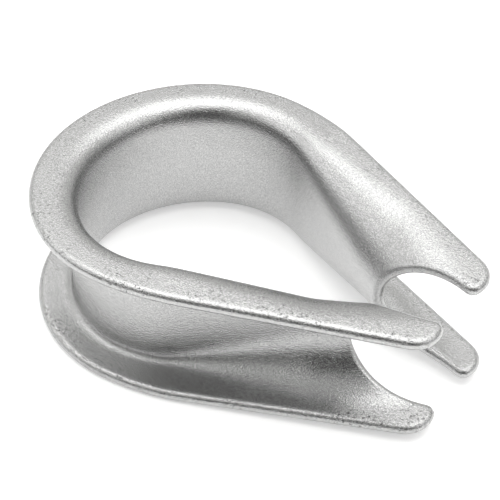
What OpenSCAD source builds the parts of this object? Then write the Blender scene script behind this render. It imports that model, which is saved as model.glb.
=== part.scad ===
// Rope thimble: one strip of sheet steel, formed into an outward-facing groove and
// bent round a teardrop eye. The two legs stay apart at the tips, and each leg end is
// scooped out so that only its two flanges reach forward as prongs.
// Frame: origin at the centre of the crown, mid-way between the flanges.
// +X runs from the crown to the tips, +Z is the axis of the pin that bears in the eye.
// All sizes are in millimetres.

/* [Strip] */
// thickness of the sheet
strip_thickness = 1.2; // [0.9:0.1:1.4]
// height over both flanges at the crown: the rope groove is this less two thicknesses
crown_height = 13.8; // [12.0:0.1:16.6]
// height over both flanges at the tips, where they lean in to hold the rope
tip_height = 12; // [11.0:0.1:13.0]
// outside radius of the bend between web and flange at the crown
crown_bend = 2.1; // [1.6:0.1:2.6]

/* [Eye] */
// radius of the seat the pin bears on
seat_radius = 12.4; // [11.4:0.1:14.8]
// half of the angle the seat covers, measured from the crown
seat_angle = 60; // [55:1:65]
// radius of the web where it turns into the legs
shoulder_radius = 10; // [8.5:0.1:11.0]
// angle of each leg's web to the centre line
web_angle = 29.6; // [28.0:0.1:31.0]
// distance along the web from the shoulder at which the groove is fully round
round_at = 14; // [11.0:0.5:16.0]

/* [Flange outline] */
// radius of the flange edge round the crown
crown_edge = 17.2; // [16.6:0.1:19.0]
// half of the angle that crown edge covers
crown_edge_angle = 42.4; // [40:0.1:45]
// radius of the flange edge at the sides
side_edge = 16; // [15.0:0.1:18.0]
// angle that side edge covers
side_edge_angle = 51.3; // [49:0.1:53]
// radius that eases each side into its straight leg
hip_edge = 26; // [22:0.5:30]
// angle of each leg's outer edge to the centre line
leg_angle = 22.3; // [21.5:0.1:23.5]

/* [Tips] */
// distance of the prong ends along the leg, measured from the origin
tip_reach = 25.9; // [25.0:0.1:28.0]
// radius on the outer corner of each prong
prong_corner = 2.9; // [2.4:0.1:3.0]
// radius on the inner corner of each prong
prong_inner_corner = 0.9; // [0.6:0.1:1.2]
// distance of the bottom of the scoop along the leg, measured from the origin
scoop_start = 16.7; // [15.5:0.1:18.0]
// half of the width of the scoop, measured round the groove in the flat sheet
scoop_half = 7.7; // [7.0:0.1:8.0]

/* [Hidden] */
turn_step = 7;
seat_skim = 0.03;
seat_length = crown_height - 2 * crown_bend - 0.2;
scoop_power = 1.85;
scoop_middle = tip_reach + 1;
shoulder_c = (seat_radius - shoulder_radius) * [-cos(seat_angle), sin(seat_angle)];
leg_start = shoulder_c + shoulder_radius * [sin(web_angle), cos(web_angle)];
side_c = (crown_edge - side_edge) * [-cos(crown_edge_angle), sin(crown_edge_angle)];
hip_dir = crown_edge_angle + side_edge_angle;
hip_c = side_c + (side_edge - hip_edge) * [-cos(hip_dir), sin(hip_dir)];
leg_offset = hip_c * [sin(leg_angle), cos(leg_angle)] + hip_edge;
lean = web_angle - leg_angle;

function half_height(q) =
    (crown_height + (tip_height - crown_height) * max(0, q) / tip_reach) / 2;
function bend(q) =
    min(half_height(q), crown_bend + (half_height(round_at) - crown_bend) * q / round_at);
function arc(c, r, a0, a1, n) =
    [for (i = [0:n]) let (a = a0 + (a1 - a0) * i / n) c + r * [cos(a), sin(a)]];

// the flange edge in plan, from just behind the crown to beyond the tips, on one side
outline = concat(
    arc([0, 0], crown_edge, 182, 181 - crown_edge_angle, 40),
    arc(side_c, side_edge, 180 - crown_edge_angle, 181 - hip_dir, 40),
    arc(hip_c, hip_edge, 180 - hip_dir, 90 - leg_angle, 16),
    [(tip_reach + 20) * [cos(leg_angle), -sin(leg_angle)]
        + leg_offset * [sin(leg_angle), cos(leg_angle)]]);

// distance from p along u to the flange edge
function hit(p, u, a, b) = let (d = b - a, w = a - p, k = cross(u, d))
    k == 0 || cross(w, u) / k < 0 || cross(w, u) / k > 1 ? 0 : cross(w, d) / k;
function reach(p, u) =
    max([for (i = [0:len(outline) - 2]) hit(p, u, outline[i], outline[i + 1])]);

// Places on the strip are [a, b]: a runs along the web, as the angle turned from the
// crown while it is on an arc and as millimetres past the shoulder on the leg, and
// b is the distance round the section from the middle of the web, in the flat sheet.
mid = strip_thickness / 2;
function web_part(q) = half_height(q) - bend(q);
function bend_part(q) = PI / 2 * (bend(q) - mid);
function to_flange(q) = web_part(q) + bend_part(q) - bend(q);
function depth(q, b) = let (r = bend(q), w = web_part(q), k = bend_part(q))
    b <= w ? mid
    : b <= w + k ? r - (r - mid) * cos((b - w) / k * 90)
    : b - to_flange(q);
function level(q, b) = let (r = bend(q), w = web_part(q), k = bend_part(q))
    b <= w ? b
    : b <= w + k ? w + (r - mid) * sin((b - w) / k * 90)
    : half_height(q) - mid;
// direction across the sheet, towards the rope, as [outward, up]
function across(q, b) = let (w = web_part(q), k = bend_part(q))
    b <= w ? [1, 0]
    : b <= w + k ? [cos((b - w) / k * 90), -sin((b - w) / k * 90)]
    : [0, -1];

// frame of the web: [point, direction outward]
function web_frame(turned, q) =
    turned < seat_angle
        ? let (a = 180 - turned)
            [(seat_radius - seat_skim) * [cos(a), sin(a)], a]
        : let (a = 180 - turned)
            [shoulder_c + shoulder_radius * [cos(a), sin(a)]
                + q * [cos(web_angle), -sin(web_angle)], a];
// a point of the strip, `off` from its middle surface towards the rope
function point(turned, q, b, off) =
    let (f = web_frame(turned, q), s = abs(b), x = across(q, s),
        n = depth(q, s) + off * x[0], z = level(q, s) + off * x[1])
    [f[0][0] + n * cos(f[1]), f[0][1] + n * sin(f[1]), sign(b) * z];

// from a leg's own plan frame, along and outward from the origin, to [q, depth]
leg_foot = [leg_start * [cos(leg_angle), -sin(leg_angle)],
            leg_start * [sin(leg_angle), cos(leg_angle)]];
function from_leg(s, n) = let (x = s - leg_foot[0], y = n - leg_foot[1])
    [x * cos(lean) - y * sin(lean), x * sin(lean) + y * cos(lean)];
function on_flange(s, n) = let (v = from_leg(s, n)) [v[0], v[1] + to_flange(v[0])];
// the same for a place given along the leg and round the section
function round_section(s, b, q = 0, tries = 6) = tries == 0 ? [q, b]
    : round_section(s, b,
        (s - leg_foot[0] - depth(max(0, q), b) * sin(lean)) / cos(lean), tries - 1);
function leg_depth(v) =
    leg_foot[1] - v[0] * sin(lean) + depth(v[0], v[1]) * cos(lean);

// the scooped end, from the middle of the web to the middle of the prong's end
scoop_join = tip_reach - prong_inner_corner;
function scoop_edge(s) =
    let (x = (scoop_middle - s) / (scoop_middle - scoop_start))
    round_section(s, scoop_half * pow(1 - pow(x, scoop_power), 1 / scoop_power));
join_n = leg_depth(scoop_edge(scoop_join));
prong_tip = on_flange(tip_reach,
    (join_n + prong_inner_corner + leg_offset - prong_corner) / 2);
end_line = concat(
    [for (i = [0:40]) scoop_edge(scoop_start + (scoop_join - scoop_start)
        * (1 - cos(90 * i / 40)))],
    [for (v = arc([scoop_join, join_n + prong_inner_corner], prong_inner_corner,
        -75, 0, 5)) on_flange(v[0], v[1])],
    [prong_tip]);
edge_line = concat(
    [for (i = [0:30]) let (v = on_flange(tip_reach - prong_corner, leg_offset))
        let (f = web_frame(90 + web_angle, v[0] * i / 30))
        [v[0] * i / 30, reach(f[0], [cos(f[1]), sin(f[1])]) + to_flange(v[0] * i / 30)]],
    [for (v = arc([tip_reach - prong_corner, leg_offset - prong_corner], prong_corner,
        80, 0, 8)) on_flange(v[0], v[1])],
    [prong_tip]);

// the point a share of the way along a line of points
function run(p, i = 0, sum = 0) = i == len(p) - 1 ? [sum]
    : concat([sum], run(p, i + 1, sum + norm(p[i + 1] - p[i])));
function along(p, l, share) = let (d = share * l[len(l) - 1])
    let (i = max([for (k = [0:len(l) - 2]) if (l[k] <= d) k]))
    p[i] + (p[i + 1] - p[i]) * (d - l[i]) / (l[i + 1] - l[i]);
end_run = run(end_line);
edge_run = run(edge_line);

// shares across half of the sheet and along the leg: closer at bends and edges.
// The last row and the last line lie on the strip's edge, where it is half as thick.
rows = [0, 0.16, 0.32, 0.44, 0.49, 0.54, 0.59, 0.64, 0.69, 0.76, 0.84, 0.92, 1];
leg_rows = [0, 0.08, 0.18, 0.28, 0.38, 0.48, 0.58, 0.67, 0.75, 0.82, 0.88, 0.93, 0.97, 1];
start_width = edge_line[0][1];
function leg_place(u, f) =
    let (e = along(end_line, end_run, f), c = along(edge_line, edge_run, u),
        q0 = end_line[0][0])
    (1 - u) * [0, f * start_width] + u * e + (1 - f) * [u * q0, 0] + f * c
        - u * (1 - f) * [q0, 0] - (1 - u) * f * [0, start_width] - u * f * prong_tip;

all_rows = concat([for (i = [len(rows) - 1:-1:1]) -rows[i]], rows);
crown_turns = round(seat_angle / turn_step);
shoulder_turn = 90 + web_angle - seat_angle;
shoulder_turns = round(shoulder_turn / turn_step);
function arc_line(turned, off) =
    let (f = web_frame(turned, 0), width = reach(f[0], [cos(f[1]), sin(f[1])])
        + to_flange(0))
    [for (r = all_rows)
        point(turned, 0, r * width, off * mid * (abs(r) == 1 ? 0.5 : 1))];
function leg_line(u, off) =
    [for (r = all_rows) let (v = leg_place(u, abs(r)))
        point(90 + web_angle, v[0], v[1] * sign(r),
            off * mid * (abs(r) == 1 || u == 1 ? 0.5 : 1))];
function half_lines(off) = concat(
    [for (i = [0:crown_turns - 1]) arc_line(seat_angle * i / crown_turns, off)],
    [for (i = [0:shoulder_turns])
        arc_line(seat_angle + shoulder_turn * i / shoulder_turns, off)],
    [for (k = [1:len(leg_rows) - 1]) leg_line(leg_rows[k], off)]);
function mirrored(line) = [for (p = line) [p[0], -p[1], p[2]]];
function lines(off) = let (h = half_lines(off))
    concat([for (i = [len(h) - 1:-1:1]) mirrored(h[i])], h);

// a sheet with thickness: the eye side, the rope side, and the edge round both
module sheet(under, over) {
    n = len(under[0]);
    m = len(under);
    k = n * m;
    rim = concat(
        [for (j = [0:n - 1]) j],
        [for (i = [1:m - 1]) i * n + n - 1],
        [for (j = [n - 2:-1:0]) (m - 1) * n + j],
        [for (i = [m - 2:-1:1]) i * n]);
    polyhedron(
        points = concat([for (l = under) each l], [for (l = over) each l]),
        faces = concat(
            [for (i = [0:m - 2], j = [0:n - 2]) let (a = i * n + j)
                each [[a, a + 1, a + n + 1], [a, a + n + 1, a + n]]],
            [for (i = [0:m - 2], j = [0:n - 2]) let (a = i * n + j + k)
                each [[a, a + n + 1, a + 1], [a, a + n, a + n + 1]]],
            [for (i = [0:len(rim) - 1])
                let (a = rim[i], b = rim[(i + 1) % len(rim)])
                each [[a, b + k, b], [a, a + k, b + k]]]));
}

// the formed strip, with the seat cut true in its web
module thimble() {
    color("silver")
    difference() {
        sheet(lines(-1), lines(1));
        rotate([0, 0, 181 - seat_angle])
            rotate_extrude(angle = 2 * seat_angle - 2, $fn = 90)
                translate([0, -seat_length / 2]) square([seat_radius, seat_length]);
    }
}

thimble();
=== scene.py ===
# %% [markdown]
# A rope thimble is one strip of stainless sheet, pressed into a channel that opens
# outwards and bent round a teardrop eye. This lesson makes it the way the press does:
# a flat blank is a grid primitive, its points are carried onto the formed shape, its
# border is extruded to carry the rounded edge, and Solidify gives the sheet thickness.

# %% Open the frame
import math

import bpy
from mathutils import Matrix, Vector


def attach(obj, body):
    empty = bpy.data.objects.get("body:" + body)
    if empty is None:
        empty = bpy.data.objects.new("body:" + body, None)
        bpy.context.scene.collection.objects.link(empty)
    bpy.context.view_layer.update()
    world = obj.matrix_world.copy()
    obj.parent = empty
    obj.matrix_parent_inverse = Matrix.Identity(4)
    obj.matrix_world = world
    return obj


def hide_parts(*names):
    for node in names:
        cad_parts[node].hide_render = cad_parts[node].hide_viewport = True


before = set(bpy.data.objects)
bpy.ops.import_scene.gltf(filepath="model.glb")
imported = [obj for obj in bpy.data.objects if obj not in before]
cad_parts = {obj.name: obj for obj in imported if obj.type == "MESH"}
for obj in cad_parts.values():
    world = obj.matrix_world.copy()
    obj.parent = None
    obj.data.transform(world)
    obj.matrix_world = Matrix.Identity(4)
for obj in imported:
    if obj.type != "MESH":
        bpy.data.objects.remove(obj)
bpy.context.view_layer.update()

# %% [markdown]
# The camera comes first, because it decides what is worth modelling. A long lens from
# about 166 mm away looks down on the eye from the open side of one leg. The camera is
# placed by two angles and a distance from the point it looks at.

# %% Camera
look_at = Vector((0.004987, 0.000879, 0.0))
side_angle, down_angle, roll_angle = 0.6193, 0.7144, 0.0022
camera_distance = 0.16635
towards_camera = Vector((
    math.sin(side_angle) * math.cos(down_angle),
    -math.cos(side_angle) * math.cos(down_angle),
    math.sin(down_angle),
))
bpy.ops.object.select_all(action="DESELECT")
bpy.ops.object.camera_add(location=look_at + towards_camera * camera_distance)
camera = bpy.context.object
camera.name = "camera"
camera.rotation_mode = "QUATERNION"
camera.rotation_quaternion = (-towards_camera).to_track_quat("-Z", "Y") @ Matrix.Rotation(
    roll_angle, 3, "Z"
).to_quaternion()
camera.data.sensor_width = 36.0
camera.data.lens = 119.77
camera.data.clip_start = 0.01
camera.data.clip_end = 10.0
bpy.context.scene.camera = camera
print("camera at", [round(v, 4) for v in camera.location])

# %% [markdown]
# Every material is built from nodes, so one helper adds a node, sets its values and
# joins its inputs. Colours are picked as sRGB hex values, and the shader wants linear
# ones, so one function turns them.

# %% Node helper and colours
def add_node(material, kind, settings=None, inputs=None):
    """Adds a node; an input is a value, or another node's output socket."""
    node = material.node_tree.nodes.new(kind)
    for name, value in (settings or {}).items():
        setattr(node, name, value)
    for name, value in (inputs or {}).items():
        if isinstance(value, bpy.types.NodeSocket):
            material.node_tree.links.new(value, node.inputs[name])
        else:
            node.inputs[name].default_value = value
    return node


def linear(hex_colour):
    """An sRGB hex colour as the linear colour that a shader takes."""
    channels = [int(hex_colour[i:i + 2], 16) / 255 for i in (0, 2, 4)]
    return [
        c / 12.92 if c <= 0.04045 else ((c + 0.055) / 1.055) ** 2.4 for c in channels
    ] + [1.0]


def new_material(name):
    """An empty node material and its output node."""
    material = bpy.data.materials.new(name)
    material.use_nodes = True
    material.node_tree.nodes.clear()
    return material, add_node(material, "ShaderNodeOutputMaterial")


print("F0F0EC in linear light:", [round(c, 3) for c in linear("F0F0EC")])

# %% [markdown]
# The studio is a white table with soft boxes over it. Polished steel shows the room more
# than itself: the flat flange mirrors the pale wall behind, the rolled corner catches the
# box overhead, and the gap between the table and the boxes draws the dark line along it.

# %% Table
table_height = -0.0069
bpy.ops.object.select_all(action="DESELECT")
bpy.ops.mesh.primitive_plane_add(size=3.0, location=(0, 0, table_height))
table_top = bpy.context.object
table_top.name = "table_top"
paper, paper_out = new_material("matt_white_paper")
paper_shader = add_node(paper, "ShaderNodeBsdfPrincipled", inputs={
    "Base Color": linear("FBFBFB"), "Roughness": 0.95, "Specular IOR Level": 0.1,
    "Emission Color": linear("FFFFFF"), "Emission Strength": 0.35})
paper.node_tree.links.new(paper_shader.outputs[0], paper_out.inputs["Surface"])
table_top.data.materials.append(paper)
print("table top at z =", table_height)

# %% Lights
def soft_box(name, place, size, watts, aim=(0, 0, 0)):
    """A square area light that faces the point it is aimed at."""
    bpy.ops.object.light_add(type="AREA", location=place)
    lamp = bpy.context.object
    lamp.name = name
    lamp.data.shape = "RECTANGLE"
    lamp.data.size, lamp.data.size_y = size
    lamp.data.energy = watts
    lamp.rotation_euler = (Vector(aim) - Vector(place)).to_track_quat("-Z", "Y").to_euler()
    return lamp


soft_box("overhead_box", (-0.03, 0.10, 0.55), (0.75, 0.62), 2.3)
soft_box("left_card", (-0.55, -0.30, 0.35), (0.45, 0.35), 0.5)
soft_box("right_card", (0.60, 0.20, 0.30), (0.40, 0.35), 0.4)

# %% [markdown]
# The room round the boxes is lit too. It is dark at the horizon, where the studio's walls
# are, pale above, and has one small dark place where the lens stands, which a polished
# curve shows as a black spot. The room is drawn by direction alone, so it stays put
# whichever way the object is looked at.

# %% Room
# heights are the sine of the angle above the table
DARK_BELOW, PALE_ABOVE = 0.14, 0.66
room = bpy.data.worlds.new("studio_room")
bpy.context.scene.world = room
room.use_nodes = True
direction = add_node(room, "ShaderNodeTexCoord").outputs["Generated"]
height_of = add_node(room, "ShaderNodeSeparateXYZ", inputs={"Vector": direction})
ceiling = add_node(room, "ShaderNodeMapRange", {"interpolation_type": "SMOOTHSTEP"}, {
    "Value": height_of.outputs["Z"], "From Min": DARK_BELOW, "From Max": PALE_ABOVE,
    "To Min": 0.0, "To Max": 0.95})
to_lens = add_node(room, "ShaderNodeVectorMath", {"operation": "DOT_PRODUCT"}, {
    0: direction, 1: tuple(towards_camera)})
lens_spot = add_node(room, "ShaderNodeMapRange", {"interpolation_type": "SMOOTHSTEP"}, {
    "Value": to_lens.outputs["Value"], "From Min": 0.91, "From Max": 0.95,
    "To Min": 1.0, "To Max": 0.02})
# the wall away from the lens is a pale cloth down to the table, with no dark horizon
cloth = add_node(room, "ShaderNodeMapRange", {"interpolation_type": "SMOOTHSTEP"}, {
    "Value": to_lens.outputs["Value"], "From Min": -0.25, "From Max": 0.15,
    "To Min": 1.0, "To Max": 0.0})
walls = add_node(room, "ShaderNodeMix", inputs={
    "Factor": cloth.outputs[0], "A": ceiling.outputs[0], "B": 0.84})
glow = add_node(room, "ShaderNodeMath", {"operation": "MULTIPLY"}, {
    0: walls.outputs[0], 1: lens_spot.outputs[0]})
room.node_tree.links.new(
    glow.outputs[0], room.node_tree.nodes["Background"].inputs["Strength"])
room.node_tree.nodes["Background"].inputs["Color"].default_value = linear("FAFAF8")
print("the room is brightest above", round(math.degrees(math.asin(PALE_ABOVE))), "degrees")

# %% [markdown]
# The sizes of the pressing, in millimetres. The groove takes a 10 mm rope. The bend from
# web to flange is tight round the crown and opens out along each leg, until the section
# is one round trough, and the two flanges lean in a little towards the tips.

# %% Sizes of the pressing
SHEET = 1.2
HALF_SHEET = SHEET / 2
CROWN_HEIGHT, TIP_HEIGHT = 13.8, 12.0
CROWN_BEND, ROUND_AT = 2.1, 14.0
SEAT_RADIUS, SEAT_ANGLE = 12.4, 60.0
SHOULDER_RADIUS, WEB_ANGLE = 10.0, 29.6
CROWN_EDGE, CROWN_EDGE_ANGLE = 17.2, 42.4
SIDE_EDGE, SIDE_EDGE_ANGLE = 16.0, 51.3
HIP_EDGE, LEG_ANGLE = 26.0, 22.3
# the prongs stop 0.02 mm short of their 25.9 mm, so that their true curves stay in the CAD box
TIP_REACH, PRONG_CORNER, PRONG_INNER = 25.88, 2.9, 0.9
SCOOP_START, SCOOP_HALF, SCOOP_POWER = 16.7, 7.7, 1.85
SCOOP_MIDDLE = TIP_REACH + 1
print("groove at the crown:", CROWN_HEIGHT - 2 * SHEET, "mm high")


def ray(degrees):
    """A unit direction in plan."""
    return Vector((math.cos(math.radians(degrees)), math.sin(math.radians(degrees))))


def arc(centre, radius, start, end, count):
    """Points on an arc in plan, both ends kept."""
    return [
        centre + radius * ray(start + (end - start) * i / count) for i in range(count + 1)
    ]


# %% [markdown]
# The section. A place on the sheet is (q, b): q runs along the web, and b is the distance
# round the section from the middle of the web, as it was in the flat blank. Small
# functions say how far out and how high the middle of the sheet is there. Sweeping one
# profile along a curve was the other way, but this section changes as it goes.

# %% Section of the channel
def half_height(q):
    return (CROWN_HEIGHT + (TIP_HEIGHT - CROWN_HEIGHT) * max(0, q) / TIP_REACH) / 2


def bend(q):
    grown = (half_height(ROUND_AT) - CROWN_BEND) * q / ROUND_AT
    return min(half_height(q), CROWN_BEND + grown)


def section(q, b):
    """Outward distance and height of the sheet's middle."""
    radius = bend(q)
    web = half_height(q) - radius
    turn = math.pi / 2 * (radius - HALF_SHEET)
    if b <= web:
        return HALF_SHEET, b
    if b <= web + turn:
        a = (b - web) / turn * math.pi / 2
        return (
            radius - (radius - HALF_SHEET) * math.cos(a),
            web + (radius - HALF_SHEET) * math.sin(a),
        )
    return b - to_flange(q), half_height(q) - HALF_SHEET


def to_flange(q):
    radius = bend(q)
    return half_height(q) - 2 * radius + math.pi / 2 * (radius - HALF_SHEET)


shoulder_centre = (SEAT_RADIUS - SHOULDER_RADIUS) * ray(180 - SEAT_ANGLE)
leg_start = shoulder_centre + SHOULDER_RADIUS * ray(90 - WEB_ANGLE)
LEG_TURN = 90 + WEB_ANGLE


def web_frame(turned, q):
    """The eye side of the web in plan, and the direction outward from it."""
    if turned < SEAT_ANGLE:
        return SEAT_RADIUS * ray(180 - turned), ray(180 - turned)
    place = shoulder_centre + SHOULDER_RADIUS * ray(180 - turned) + q * ray(-WEB_ANGLE)
    return place, ray(180 - turned)


def formed(turned, q, b):
    """A point of the sheet's middle, in millimetres."""
    foot, out = web_frame(turned, q)
    depth, level = section(q, abs(b))
    place = foot + out * depth
    return Vector((place.x, place.y, math.copysign(level, b)))


print("web turns into the leg at", [round(v, 2) for v in leg_start])

# %% [markdown]
# The blank's outline. Three arcs and a straight line make the flange's edge in plan, and
# the leg's end is cut by a scoop that leaves two rounded prongs. All of it is drawn half a
# sheet inside the real edge, because the last strip of the sheet is its rounded rim.

# %% Outline of the flange
INSET = HALF_SHEET
side_centre = (CROWN_EDGE - SIDE_EDGE) * ray(180 - CROWN_EDGE_ANGLE)
hip_turn = CROWN_EDGE_ANGLE + SIDE_EDGE_ANGLE
hip_centre = side_centre + (SIDE_EDGE - HIP_EDGE) * ray(180 - hip_turn)
leg_along, leg_out = ray(-LEG_ANGLE), ray(90 - LEG_ANGLE)
LEG_OFFSET = hip_centre.dot(leg_out) + HIP_EDGE - INSET
outline = (
    arc(Vector((0, 0)), CROWN_EDGE - INSET, 182, 180 - CROWN_EDGE_ANGLE, 160)
    + arc(side_centre, SIDE_EDGE - INSET, 180 - CROWN_EDGE_ANGLE, 180 - hip_turn, 160)[1:]
    + arc(hip_centre, HIP_EDGE - INSET, 180 - hip_turn, 90 - LEG_ANGLE, 40)[1:]
    + [(TIP_REACH + 20) * leg_along + LEG_OFFSET * leg_out]
)


def cross(a, b):
    return a.x * b.y - a.y * b.x


def flange_reach(turned, q):
    """How far the outline lies from the web, straight outward."""
    foot, out = web_frame(turned, q)
    reaches = [0.0]
    for a, b in zip(outline, outline[1:]):
        edge, away = b - a, a - foot
        k = cross(out, edge)
        if k and 0 <= cross(away, out) / k <= 1:
            reaches.append(cross(away, edge) / k)
    return max(reaches)


print("flange at the crown:", round(flange_reach(0, 0) + INSET, 3), "mm from the seat")

# %% Outline of the leg
LEAN = WEB_ANGLE - LEG_ANGLE
lean_cos, lean_sin = ray(LEAN)
foot_s, foot_n = leg_start.dot(leg_along), leg_start.dot(leg_out)


def on_flange(s, n):
    """A place on the flange, given along and outward in the leg's own plan frame."""
    x, y = s - foot_s, n - foot_n
    q = x * lean_cos - y * lean_sin
    return Vector((q, x * lean_sin + y * lean_cos + to_flange(q)))


def scoop_edge(s):
    """The scoop's edge at a distance along the leg, as a place (q, b)."""
    x = (SCOOP_MIDDLE - s) / (SCOOP_MIDDLE - SCOOP_START)
    b = SCOOP_HALF * max(0.0, 1 - x ** SCOOP_POWER) ** (1 / SCOOP_POWER)
    q = 0.0
    for _ in range(8):
        q = (s - foot_s - section(max(0, q), b)[0] * lean_sin) / lean_cos
    return Vector((q, b))


SCOOP_JOIN = TIP_REACH - PRONG_INNER
join = scoop_edge(SCOOP_JOIN)
join_n = foot_n - join.x * lean_sin + section(*join)[0] * lean_cos
real_offset = LEG_OFFSET + INSET
tip_n = (join_n + PRONG_INNER + real_offset - PRONG_CORNER) / 2
prong_tip = on_flange(TIP_REACH - INSET, tip_n)
scoop = [
    scoop_edge(SCOOP_START + (SCOOP_JOIN - SCOOP_START) * (1 - math.cos(i * math.pi / 240)))
    for i in range(121)
]
end_line = []
for i, place in enumerate(scoop):
    before = scoop[i - 1] if i else Vector((scoop[1].x, -scoop[1].y))
    after = scoop[min(i + 1, len(scoop) - 1)]
    slope = (after - before).normalized()
    end_line.append(place + INSET * Vector((-slope.y, slope.x)))
end_line += [
    on_flange(v.x, v.y)
    for v in arc(Vector((SCOOP_JOIN, join_n + PRONG_INNER)), PRONG_INNER - INSET, -75, 0, 10)
] + [prong_tip]
edge_line = []
last_q = on_flange(TIP_REACH - PRONG_CORNER, LEG_OFFSET).x
for i in range(61):
    q = last_q * i / 60
    edge_line.append(Vector((q, flange_reach(LEG_TURN, q) + to_flange(q))))
edge_line += [
    on_flange(v.x, v.y)
    for v in arc(Vector((TIP_REACH - PRONG_CORNER, real_offset - PRONG_CORNER)),
                 PRONG_CORNER - INSET, 82, 0, 20)
] + [prong_tip]
print("prong tip at q, b:", [round(v, 2) for v in prong_tip])

# %% [markdown]
# The blank itself is a grid primitive, with one column of points for each step along the
# strip and one row for each step round the section. On the crown and shoulders a row is a
# share of the width. On a leg the four borders are blended, as a patch is, so that the
# rows fan out into the prongs and the last column lies on the scooped end.

# %% Columns and rows
def share_of(line, share):
    """The point a share of the way along a line, by its length."""
    lengths = [(b - a).length for a, b in zip(line, line[1:])]
    left = share * sum(lengths)
    for a, b, length in zip(line, line[1:], lengths):
        if left <= length:
            return a.lerp(b, left / length)
        left -= length
    return line[-1].copy()


CROWN_COLUMNS, SHOULDER_COLUMNS, LEG_COLUMNS, HALF_ROWS = 34, 30, 78, 44
start_width = edge_line[0].y
row_shares = [i / HALF_ROWS for i in range(HALF_ROWS + 1)]
end_places = [share_of(end_line, f) for f in row_shares]
leg_shares = [
    0.85 * i / LEG_COLUMNS + 0.15 * math.sin(i / LEG_COLUMNS * math.pi / 2)
    for i in range(LEG_COLUMNS + 1)
]


def leg_patch(u, row):
    """A place on the leg: the blend of its four borders."""
    f, end, edge = row_shares[row], end_places[row], share_of(edge_line, u)
    end_q = end_line[0].x
    place = (1 - u) * Vector((0, f * start_width)) + u * end
    place += (1 - f) * Vector((u * end_q, 0)) + f * edge
    place -= u * (1 - f) * Vector((end_q, 0)) + (1 - u) * f * Vector((0, start_width))
    return place - u * f * prong_tip


half_columns = []
for i in range(CROWN_COLUMNS + SHOULDER_COLUMNS + 1):
    if i <= CROWN_COLUMNS:
        turned = SEAT_ANGLE * i / CROWN_COLUMNS
    else:
        turned = SEAT_ANGLE + (LEG_TURN - SEAT_ANGLE) * (i - CROWN_COLUMNS) / SHOULDER_COLUMNS
    width = flange_reach(turned, 0) + to_flange(0)
    half_columns.append([(turned, 0.0, f * width) for f in row_shares])
for u in leg_shares[1:]:
    patch = [leg_patch(u, row) for row in range(HALF_ROWS + 1)]
    half_columns.append([(LEG_TURN, place.x, place.y) for place in patch])
print(2 * len(half_columns) - 1, "columns by", 2 * HALF_ROWS + 1, "rows")

# %% Form the blank
MM = 0.001
column_count, row_count = 2 * len(half_columns) - 1, 2 * HALF_ROWS + 1
bpy.ops.object.select_all(action="DESELECT")
bpy.ops.mesh.primitive_grid_add(
    x_subdivisions=column_count - 1, y_subdivisions=row_count - 1, size=0.1)
thimble = bpy.context.object
thimble.name = "thimble_strip"
middle = len(half_columns) - 1
for vertex in thimble.data.vertices:
    column, row = vertex.index % column_count, vertex.index // column_count
    side, up = column - middle, row - HALF_ROWS
    turned, q, b = half_columns[abs(side)][abs(up)]
    place = formed(turned, q, b if up >= 0 else -b)
    if side < 0:
        place.y = -place.y
    vertex.co = place * MM
rim_share = thimble.data.attributes.new("rim_share", "FLOAT", "POINT")
rim_share.data.foreach_set("value", [
    row_shares[abs(v.index // column_count - HALF_ROWS)] for v in thimble.data.vertices])
thimble.data.update()
print("formed blank spans", [round(v * 1000, 2) for v in thimble.dimensions], "mm")

# %% [markdown]
# A press never leaves a line where a flat meets a bend. Smooth Vertices eases the inside
# of the blank a little, while its border stays on the outline.

# %% Ease the creases
bpy.ops.object.mode_set(mode="EDIT")
bpy.ops.mesh.select_mode(type="VERT")
bpy.ops.mesh.select_all(action="DESELECT")
bpy.ops.object.mode_set(mode="OBJECT")
for vertex in thimble.data.vertices:
    column, row = vertex.index % column_count, vertex.index // column_count
    vertex.select = 1 < column < column_count - 2 and 1 < row < row_count - 2
bpy.ops.object.mode_set(mode="EDIT")
bpy.ops.mesh.vertices_smooth(factor=0.5, repeat=22)
bpy.ops.object.mode_set(mode="OBJECT")
print("eased", sum(v.select for v in thimble.data.vertices), "points")

# %% [markdown]
# Tumbling in a barrel of stones rounds every cut edge of the real strip. The blank's
# border is extruded five times, each ring a little further out along the sheet, and a
# vertex group makes the sheet thinner ring by ring. Solidify reads the group, so the rim
# closes in a half circle. Extruding was chosen over Bevel, which would need the wall first
# and then leaves uneven corners round the scoop.

# %% Rounded rim
RINGS = 5
# the rim stops a few micrometres short, so that the true curves stay in the CAD box
RIM_REACH = HALF_SHEET - 0.008
thickness = thimble.vertex_groups.new(name="sheet_thickness")
thickness.add(range(len(thimble.data.vertices)), 1.0, "REPLACE")


def border_loop():
    """The border's points in order, as the blank's own rows and columns give them."""
    bottom = list(range(column_count))
    right = [i * column_count + column_count - 1 for i in range(1, row_count)]
    top = [(row_count - 1) * column_count + i for i in range(column_count - 2, -1, -1)]
    left = [i * column_count for i in range(row_count - 2, 0, -1)]
    return bottom + right + top + left


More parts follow.
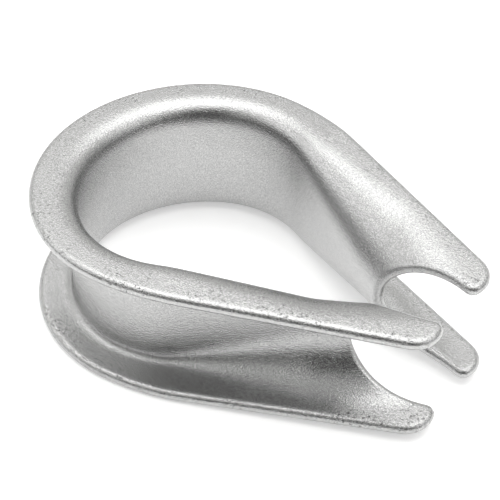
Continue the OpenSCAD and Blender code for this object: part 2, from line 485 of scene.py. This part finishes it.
loop = border_loop()
points = thimble.data.vertices
home = {i: points[i].co.copy() for i in loop}
outward = {}
for k, i in enumerate(loop):
    before, after = home[loop[k - 1]], home[loop[(k + 1) % len(loop)]]
    outward[i] = (after - before).cross(points[i].normal).normalized()
inside = points[column_count * 2 + middle].co
if outward[loop[middle]].dot(home[loop[middle]] - inside) < 0:
    outward = {i: -way for i, way in outward.items()}
start_of = {home[i].to_tuple(): i for i in loop}
bpy.ops.object.mode_set(mode="EDIT")
bpy.ops.mesh.select_mode(type="EDGE")
bpy.ops.mesh.select_all(action="DESELECT")
bpy.ops.mesh.select_non_manifold(
    extend=False, use_wire=False, use_boundary=True,
    use_multi_face=False, use_non_contiguous=False, use_verts=False)
for ring in range(1, RINGS + 1):
    turn = ring / RINGS * math.pi / 2
    bpy.ops.mesh.extrude_edges_move()
    bpy.ops.object.mode_set(mode="OBJECT")
    fresh = [v for v in thimble.data.vertices if v.select]
    moved = {}
    for vertex in fresh:
        i = start_of[vertex.co.to_tuple()]
        vertex.co = home[i] + outward[i] * (RIM_REACH * MM * math.sin(turn))
        moved[vertex.co.to_tuple()] = i
    start_of = moved
    thickness.add([v.index for v in fresh], max(0.0, math.cos(turn)), "REPLACE")
    bpy.ops.object.mode_set(mode="EDIT")
bpy.ops.mesh.select_all(action="SELECT")
bpy.ops.mesh.normals_make_consistent(inside=False)
bpy.ops.object.mode_set(mode="OBJECT")
print("rim of", RINGS, "rings,", len(thimble.data.vertices), "points")

# %% Thickness and smooth shading
# a hair under the sheet's thickness, for the same reason as the rim
WALL = SHEET - 0.01
MERGE_WITHIN = 0.002 * MM
wall = thimble.modifiers.new("sheet", "SOLIDIFY")
wall.thickness = WALL * MM
wall.offset = 0.0
wall.use_rim = False
wall.vertex_group = thickness.name
bpy.ops.object.modifier_apply(modifier=wall.name)
bpy.ops.object.mode_set(mode="EDIT")
bpy.ops.mesh.select_all(action="SELECT")
bpy.ops.mesh.remove_doubles(threshold=MERGE_WITHIN)
bpy.ops.mesh.normals_make_consistent(inside=False)
bpy.ops.mesh.select_all(action="DESELECT")
bpy.ops.mesh.select_non_manifold(extend=False)
bpy.ops.object.mode_set(mode="OBJECT")
bpy.ops.object.shade_smooth()
open_points = sum(v.select for v in thimble.data.vertices)
print(len(thimble.data.polygons), "faces,", open_points, "open points")

# %% [markdown]
# The metal is austenitic stainless steel, cold rolled, pressed, and tumbled until it is
# bright but not a mirror. Pressing stretches the sheet where it turns, which leaves a fine
# orange-peel texture; the tumbling stones leave a satin grain. Polished steel has one grey
# colour and all its detail is in roughness and bump, so those are what the nodes drive.

# %% Tumbled stainless steel
steel, steel_out = new_material("tumbled_stainless_steel")
place_on = add_node(steel, "ShaderNodeTexCoord").outputs["Object"]
# a Mix node's colour sockets share their names with its others, so they go by place
COLOUR_A, COLOUR_B, COLOUR_OUT = 6, 7, 2
# the orange peel of a pressed 1.2 mm sheet has dimples about 0.18 mm across
peel = add_node(steel, "ShaderNodeTexNoise", inputs={
    "Vector": place_on, "Scale": 1 / (0.18 * MM), "Detail": 3.0, "Roughness": 0.6})
# tumbling leaves patches of finer and coarser satin, about 6 mm across
patches = add_node(steel, "ShaderNodeTexNoise", inputs={
    "Vector": place_on, "Scale": 1 / (6 * MM), "Detail": 2.0})
# the stones leave a fine sparkle; its real grain, about 0.03 mm, is too fine to show, so
# it is drawn 0.1 mm across
sparkle = add_node(steel, "ShaderNodeTexNoise", inputs={
    "Vector": place_on, "Scale": 1 / (0.1 * MM), "Detail": 1.0, "Roughness": 0.5})
# scale pits, 0.3 mm across, survive on the outer part of the flanges
pits = add_node(steel, "ShaderNodeTexNoise", inputs={
    "Vector": place_on, "Scale": 1 / (0.3 * MM), "Detail": 4.0, "Roughness": 0.7})
deep = add_node(steel, "ShaderNodeMapRange", inputs={
    "Value": pits.outputs[0], "From Min": 0.54, "From Max": 0.66})
share = add_node(steel, "ShaderNodeAttribute", {"attribute_name": "rim_share"})
outer = add_node(steel, "ShaderNodeMapRange", inputs={
    "Value": share.outputs["Fac"], "From Min": 0.66, "From Max": 0.96})
patchy = add_node(steel, "ShaderNodeMapRange", inputs={
    "Value": patches.outputs[0], "From Min": 0.40, "From Max": 0.60})
outer_patch = add_node(steel, "ShaderNodeMath", {"operation": "MULTIPLY"}, {
    0: outer.outputs[0], 1: patchy.outputs[0]})
pitted = add_node(steel, "ShaderNodeMath", {"operation": "MULTIPLY"}, {
    0: outer_patch.outputs[0], 1: deep.outputs[0]})
grain = add_node(steel, "ShaderNodeMapRange", inputs={
    "Value": sparkle.outputs[0], "From Min": 0.32, "From Max": 0.68})
grained = add_node(steel, "ShaderNodeMix", {"data_type": "RGBA"}, {
    "Factor": grain.outputs[0],
    COLOUR_A: linear("A4A4A5"), COLOUR_B: linear("CBCBCA")})
colour = add_node(steel, "ShaderNodeMix", {"data_type": "RGBA"}, {
    "Factor": pitted.outputs[0],
    COLOUR_A: grained.outputs[COLOUR_OUT], COLOUR_B: linear("5E5E5E")})
relief = add_node(steel, "ShaderNodeMath", {"operation": "MULTIPLY_ADD"}, {
    0: pitted.outputs[0], 1: -0.35, 2: peel.outputs[0]})
grain_bump = add_node(steel, "ShaderNodeBump", inputs={
    "Height": sparkle.outputs[0], "Strength": 1.0, "Distance": 0.00003})
bump = add_node(steel, "ShaderNodeBump", inputs={
    "Height": relief.outputs[0], "Normal": grain_bump.outputs["Normal"],
    "Strength": 1.0, "Distance": 0.00003})
satin = add_node(steel, "ShaderNodeMapRange", inputs={
    "Value": patches.outputs[0], "From Min": 0.3, "From Max": 0.7,
    "To Min": 0.19, "To Max": 0.27})
steel_shader = add_node(steel, "ShaderNodeBsdfPrincipled", inputs={
    "Base Color": colour.outputs[COLOUR_OUT], "Metallic": 1.0,
    "Roughness": satin.outputs[0], "Normal": bump.outputs["Normal"]})
steel.node_tree.links.new(steel_shader.outputs[0], steel_out.inputs["Surface"])
thimble.data.materials.clear()
thimble.data.materials.append(steel)
print("nodes in the steel:", len(steel.node_tree.nodes))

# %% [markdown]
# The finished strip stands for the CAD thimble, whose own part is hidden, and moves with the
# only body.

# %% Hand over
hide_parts("thimble")
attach(thimble, "root")
bpy.context.scene.view_settings.view_transform = "Standard"
